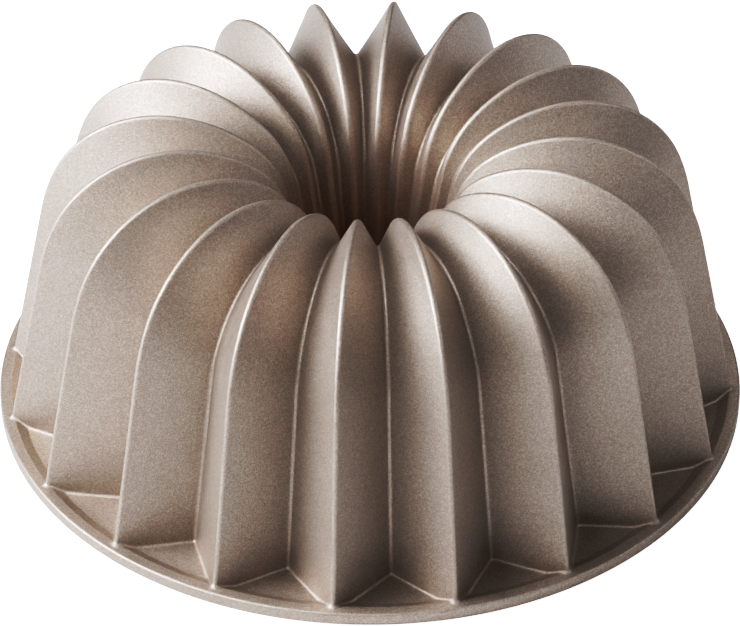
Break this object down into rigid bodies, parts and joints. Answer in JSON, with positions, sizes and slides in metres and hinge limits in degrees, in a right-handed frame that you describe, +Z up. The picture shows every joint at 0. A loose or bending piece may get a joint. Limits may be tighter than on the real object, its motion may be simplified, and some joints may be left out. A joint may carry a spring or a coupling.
{
  "type": "bundt pan",
  "caption": "Fluted ring cake pan: one cast shell with sharp radial ribs, a tapered fluted centre tube and a raised flat rim, coated on both sides.",
  "frame": {"origin": "centre of the pan's mouth, on the plane the rim's flat face rests on, with the pan mouth down as it is shown", "axes": "+Z up along the centre tube's axis, from the mouth to the crown; a flute's crest lies on +X and another on +Y"},
  "size_m": [0.24, 0.24, 0.098],
  "materials": {
    "cast_aluminium": "as-cast aluminium, satin",
    "metallic_finish": "satin bronze metallic coat with fine sparkling flake",
    "release_coat": "satin non-stick coat, slightly darker than the outside"
  },
  "bodies": {
    "root": {"cast_shell": "cast_aluminium", "outer_finish": "metallic_finish", "nonstick_lining": "release_coat"}
  },
  "joints": []
}
